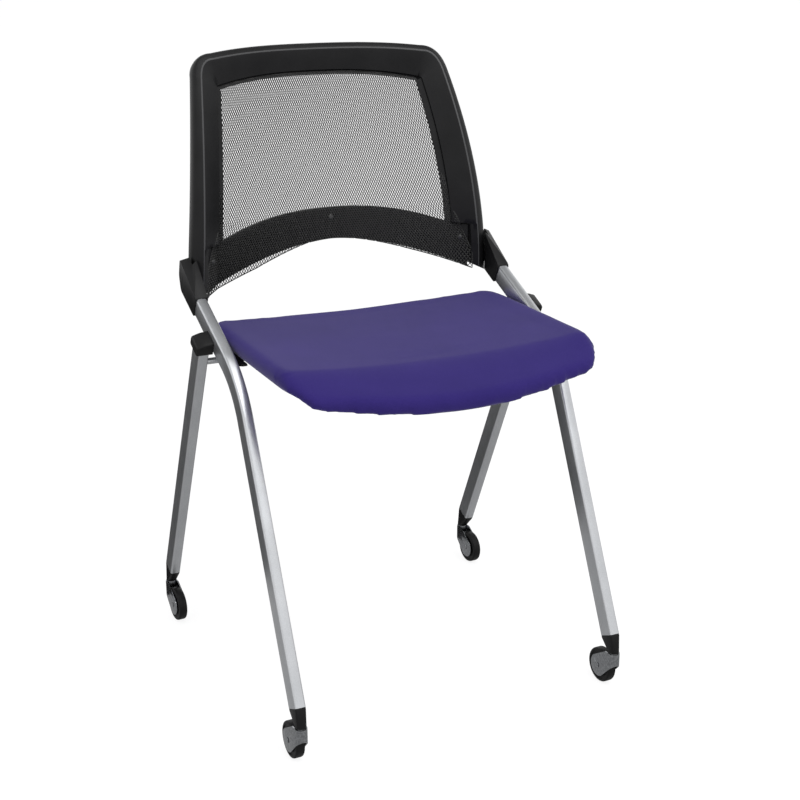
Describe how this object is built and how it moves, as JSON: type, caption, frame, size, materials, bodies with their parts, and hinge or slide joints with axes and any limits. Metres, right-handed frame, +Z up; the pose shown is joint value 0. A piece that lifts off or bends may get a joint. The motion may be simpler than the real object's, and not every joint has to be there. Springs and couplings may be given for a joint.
{
  "type": "nesting chair",
  "caption": "Nesting chair on swivel castors: crossing silver oval-tube legs, a padded cloth seat that tips up on a cross rod, and a curved net back in a black moulded rail.",
  "frame": {"origin": "on the floor, at the middle of the chair's width and depth", "axes": "+Z up, -Y the way the sitter faces, +X towards the sitter's left"},
  "size_m": [0.5368, 0.535, 0.8656],
  "materials": {
    "satin_steel": "satin silver, powder coated or plated tube",
    "plated_rod": "plain bright-drawn bar",
    "castor_steel": "bright zinc",
    "screw_steel": "black, half gloss",
    "black_nylon": "fine grain, satin",
    "back_plastic": "fine grain, satin",
    "seat_shell": "matte",
    "seat_cloth": "flat woven upholstery cloth, violet",
    "net_knit": "open knitted net",
    "wheel_nylon": "hard tread, satin"
  },
  "bodies": {
    "frame": {"front_tube_left": "satin_steel", "rear_leg_left": "satin_steel", "knuckle_cap_left": "black_nylon", "stop_pin_left": "black_nylon", "back_bracket_left": "black_nylon", "front_tube_right": "satin_steel", "rear_leg_right": "satin_steel", "knuckle_cap_right": "black_nylon", "stop_pin_right": "black_nylon", "back_bracket_right": "black_nylon", "cross_rod": "plated_rod", "back_rail": "back_plastic", "back_crossbar": "back_plastic", "back_net": "net_knit", "leg_plug_front_left": "black_nylon", "leg_plug_front_right": "black_nylon", "leg_plug_rear_left": "black_nylon", "leg_plug_rear_right": "black_nylon", "back_screw_left": "screw_steel", "back_screw_middle": "screw_steel", "back_screw_right": "screw_steel"},
    "seat": {"seat_cushion": "seat_cloth", "seat_pan": "seat_shell", "seat_arm_left": "black_nylon", "seat_arm_right": "black_nylon"},
    "castor_front_left": {"castor_stem_front_left": "castor_steel", "castor_hood_front_left": "castor_steel", "castor_axle_front_left": "castor_steel"},
    "wheel_front_left": {"castor_wheel_front_left": "wheel_nylon"},
    "castor_front_right": {"castor_stem_front_right": "castor_steel", "castor_hood_front_right": "castor_steel", "castor_axle_front_right": "castor_steel"},
    "wheel_front_right": {"castor_wheel_front_right": "wheel_nylon"},
    "castor_rear_left": {"castor_stem_rear_left": "castor_steel", "castor_hood_rear_left": "castor_steel", "castor_axle_rear_left": "castor_steel"},
    "wheel_rear_left": {"castor_wheel_rear_left": "wheel_nylon"},
    "castor_rear_right": {"castor_stem_rear_right": "castor_steel", "castor_hood_rear_right": "castor_steel", "castor_axle_rear_right": "castor_steel"},
    "wheel_rear_right": {"castor_wheel_rear_right": "wheel_nylon"}
  },
  "joints": [
    {"name": "seat_tip_up", "type": "hinge", "parent": "frame", "child": "seat", "pos_m": [0, 0.0452, 0.4651], "axis": [-1, 0, 0], "range_deg": [0, 80]},
    {"name": "castor_swivel_front_left", "type": "hinge", "parent": "frame", "child": "castor_front_left", "pos_m": [-0.2375, -0.2564, 0.0555], "axis": [0, 0, 1], "continuous": true},
    {"name": "wheel_spin_front_left", "type": "hinge", "parent": "castor_front_left", "child": "wheel_front_left", "pos_m": [-0.23805, -0.23041, 0.025], "axis": [-0.9998, -0.0209, 0], "continuous": true},
    {"name": "castor_swivel_front_right", "type": "hinge", "parent": "frame", "child": "castor_front_right", "pos_m": [0.2375, -0.2564, 0.0555], "axis": [0, 0, 1], "continuous": true},
    {"name": "wheel_spin_front_right", "type": "hinge", "parent": "castor_front_right", "child": "wheel_front_right", "pos_m": [0.23659, -0.23042, 0.025], "axis": [-0.9994, -0.0349, 0], "continuous": true},
    {"name": "castor_swivel_rear_left", "type": "hinge", "parent": "frame", "child": "castor_rear_left", "pos_m": [-0.2573, 0.2433, 0.0555], "axis": [0, 0, 1], "continuous": true},
    {"name": "wheel_spin_rear_left", "type": "hinge", "parent": "castor_rear_left", "child": "wheel_rear_left", "pos_m": [-0.25571, 0.21735, 0.025], "axis": [0.9981, 0.061, 0], "continuous": true},
    {"name": "castor_swivel_rear_right", "type": "hinge", "parent": "frame", "child": "castor_rear_right", "pos_m": [0.2573, 0.2433, 0.0555], "axis": [0, 0, 1], "continuous": true},
    {"name": "wheel_spin_rear_right", "type": "hinge", "parent": "castor_rear_right", "child": "wheel_rear_right", "pos_m": [0.25893, 0.21735, 0.025], "axis": [0.998, 0.0628, 0], "continuous": true}
  ]
}
